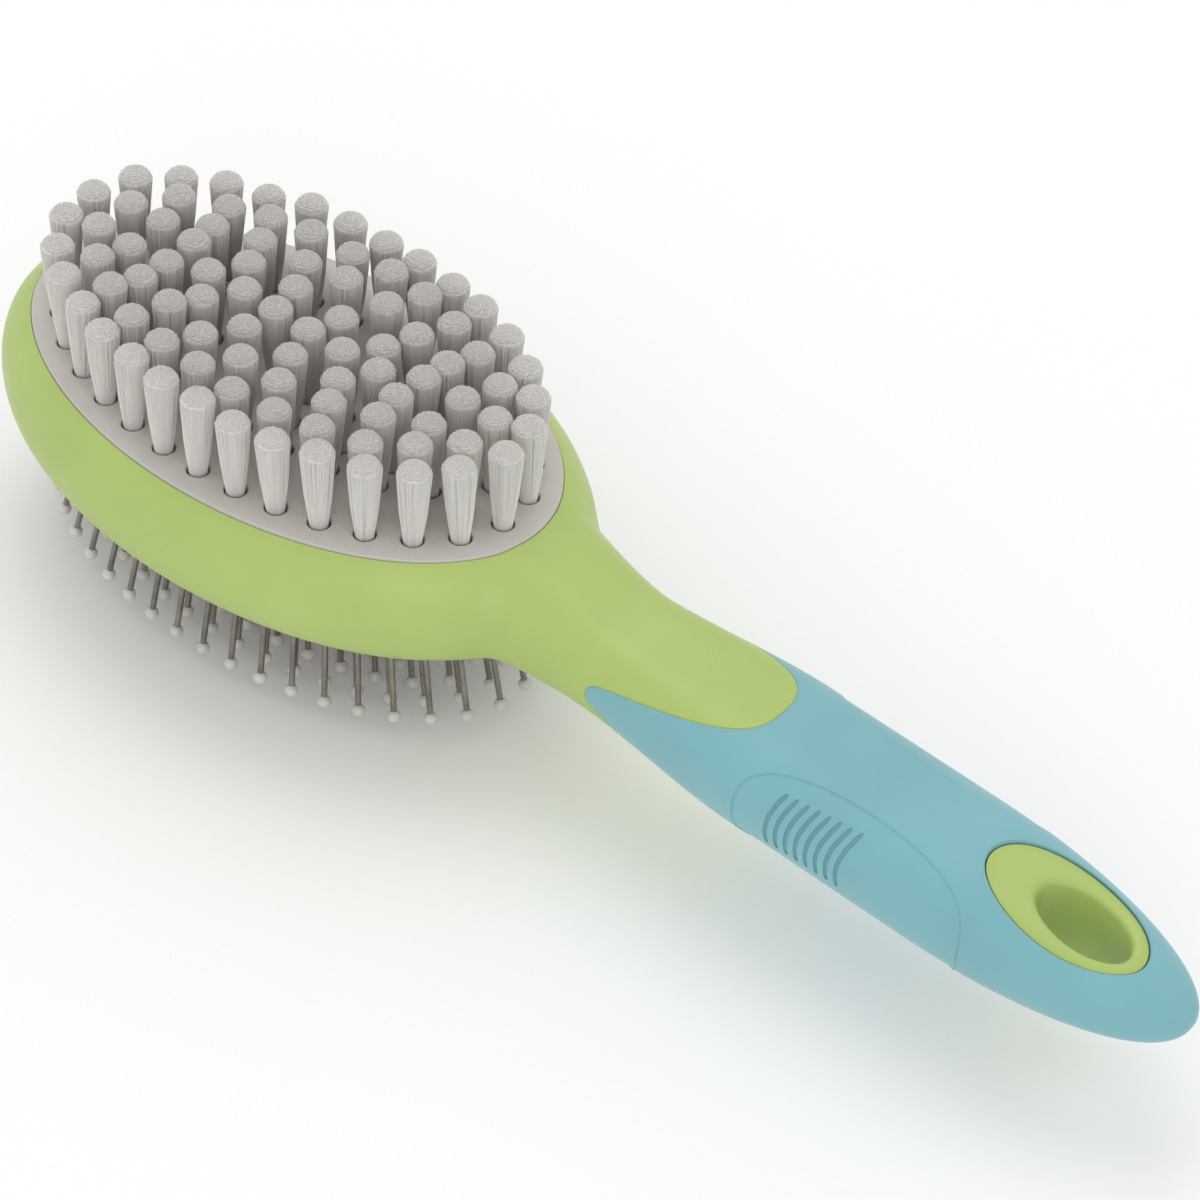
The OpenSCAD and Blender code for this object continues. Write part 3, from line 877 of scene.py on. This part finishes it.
def nylon(name, colour, inner):
    """Milky filament: fine streaks, a waxy gloss, and painted shade, greyer among the inner tufts and towards
    the lit tips.
    """
    made, shader = material(name, colour, 0.45, IOR=1.5, Subsurface_Weight=0.5, Subsurface_Scale=0.8 * MM)
    shader.inputs["Subsurface Radius"].default_value = (1, 1, 1)
    links = made.node_tree.links
    place = add_node(made, "ShaderNodeTexCoord")
    mapping = add_node(made, "ShaderNodeMapping")
    mapping.inputs["Scale"].default_value = (1 / PLATE_LEN, 1 / PLATE_WID, 0)
    mapping.inputs["Location"].default_value = (-HEAD_X / PLATE_LEN, 0, 0)
    # Painted shade: a gradient out from the middle of the plate, for the shade among the inner tufts
    inner_shade_gradient = add_node(made, "ShaderNodeTexGradient", gradient_type="SPHERICAL")
    links.new(place.outputs["Object"], mapping.inputs["Vector"])
    links.new(mapping.outputs["Vector"], inner_shade_gradient.inputs["Vector"])
    # Painted shade: darker with height, towards the tufts' lit tips
    tip_shade_height = add_node(made, "ShaderNodeSeparateXYZ")
    links.new(place.outputs["Object"], tip_shade_height.inputs["Vector"])
    streak = noise(made, 2200, 2, (1, 1, 0.05))
    # The inner colour is painted shade for the inner tufts, and the height run paints shade towards the tips
    tone = multiply(made, ramp(made, inner_shade_gradient.outputs["Fac"], colour, inner, 0.13, 0.30),
                    spread(made, tip_shade_height.outputs["Z"], 1, 0.78, PLATE_Z + 2 * MM, PLATE_Z + TUFT_HEIGHT))
    tone = multiply(made, tone, ramp(made, streak, (0.93, 0.93, 0.93), (1, 1, 1)))
    links.new(tone, shader.inputs["Base Color"])
    links.new(spread(made, streak, 0.4, 0.55), shader.inputs["Roughness"])
    bump(made, shader, (noise(made, 5000, 2, (1, 1, 0.2)), 0.15, 0.01 * MM))
    return made


GREEN = (0.40, 0.525, 0.142)
BLUE = (0.185, 0.43, 0.475)
GREY = (0.53, 0.51, 0.475)
looks = {
    "green_plastic": moulded("green_plastic", GREEN, 0.40, 6500, 0.012 * MM, 0.04, IOR=1.49),
    "blue_rubber": moulded("blue_rubber", BLUE, 0.55, 5200, 0.03 * MM, 0.05, IOR=1.48, Sheen_Weight=0.25),
    "grey_plastic": moulded("grey_plastic", GREY, 0.50, 5600, 0.02 * MM, 0.04, IOR=1.48),
    "grey_rubber": moulded("grey_rubber", (0.36, 0.335, 0.33), 0.58, 4200, 0.03 * MM, 0.07, IOR=1.45),
    "white_plastic": moulded("white_plastic", (0.68, 0.68, 0.65), 0.48, 5600, 0.02 * MM, 0.03, IOR=1.48),
    "tip_plastic": moulded("tip_plastic", (0.64, 0.62, 0.58), 0.22, 3200, 0.01 * MM, 0.12, IOR=1.5),
    # The bristle's second colour is painted shade for the inner tufts
    "bristle": nylon("bristle", (0.90, 0.865, 0.815), (0.76, 0.725, 0.69)),
    "pin_steel": drawn_steel("pin_steel", (0.29, 0.265, 0.23), 0.30),
    "steel_wire": drawn_steel("steel_wire", (0.55, 0.54, 0.53), 0.30),
}


def finish(piece, slot):
    piece.data.materials.clear()
    piece.data.materials.append(looks[slot])


def stand_in(piece, slot, node):
    """Gives a new piece its slot's look and its CAD node's body, and replaces that node with it."""
    finish(piece, slot)
    body = next(b for b, members in frame["record"]["behaviour"]["bodies"].items() if node in members)
    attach(piece, "head" if node == "cushion_membrane" else body)
    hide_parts(node)


# ---------- building ----------

for entry in frame["record"]["subparts"]:
    finish(frame["nodes"][entry["node"]], entry["material_slot"])

stand_in(moulded_body(), "green_plastic", "body")
stand_in(rubber_grip(), "blue_rubber", "grip")
stand_in(tuft_plate(), "grey_plastic", "bristle_plate")
stand_in(cushion_ring(), "grey_plastic", "cushion_frame")

chance = np.random.default_rng(7)
for ring in range(len(TUFT_COUNTS) + 1):
    stand_in(filaments(f"filaments_{ring + 1}", tuft_spots(ring), chance), "bristle", f"tuft_ring_{ring + 1}")

skin = cushion_skin()
stand_in(skin, "grey_rubber", "cushion_membrane")
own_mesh(skin)

# ---------- floor, light and camera ----------


def set_stage():
    bpy.ops.mesh.primitive_plane_add(size=6, location=(0, 0, -0.2 * MM))
    floor = bpy.context.object
    floor.name = "floor"
    made, shader = material("floor", (0.95, 0.95, 0.95), 0.85)
    floor.data.materials.append(made)
    world = bpy.data.worlds.new("studio")
    world.use_nodes = True
    world.node_tree.nodes["Background"].inputs["Color"].default_value = (1, 1, 1, 1)
    world.node_tree.nodes["Background"].inputs["Strength"].default_value = 0.87
    bpy.context.scene.world = world
    bpy.context.scene.view_settings.view_transform = "Standard"


def area_light(name, place, aim, size, power):
    lamp = bpy.data.lights.new(name, "AREA")
    lamp.shape = "DISK"
    lamp.size = size
    lamp.energy = power
    holder = bpy.data.objects.new(name, lamp)
    bpy.context.scene.collection.objects.link(holder)
    holder.location = place
    holder.rotation_euler = (Vector(aim) - Vector(place)).to_track_quat("-Z", "Y").to_euler()


def set_camera():
    """The camera of the view that the brush is seen in, set from the middle of the bristle plate's face."""
    around, above, roll = math.radians(36.39), math.radians(44.13), math.radians(3.89)
    back = Vector((math.sin(around) * math.cos(above), -math.cos(around) * math.cos(above), math.sin(above)))
    right = Vector((math.cos(around), math.sin(around), 0))
    up = back.cross(right)
    turned_right = right * math.cos(roll) + up * math.sin(roll)
    turned_up = up * math.cos(roll) - right * math.sin(roll)
    offset = Vector((360.17, -403.12, 479.68)) * MM
    camera = bpy.data.cameras.new("camera")
    camera.lens = 136.29
    camera.sensor_width = 36
    camera.clip_start = 0.01
    holder = bpy.data.objects.new("camera", camera)
    bpy.context.scene.collection.objects.link(holder)
    turn = Matrix((turned_right, turned_up, back)).transposed().to_4x4()
    holder.matrix_world = Matrix.Translation(Vector((HEAD_X, 0, PLATE_Z)) + offset) @ turn
    bpy.context.scene.camera = holder


set_stage()
area_light("key", (-0.25, 0.20, 0.78), (0, 0, 0.03), 0.6, 1.2)
area_light("fill", (0.5, -0.7, 0.45), (0, 0, 0.03), 0.7, 1.2)
set_camera()
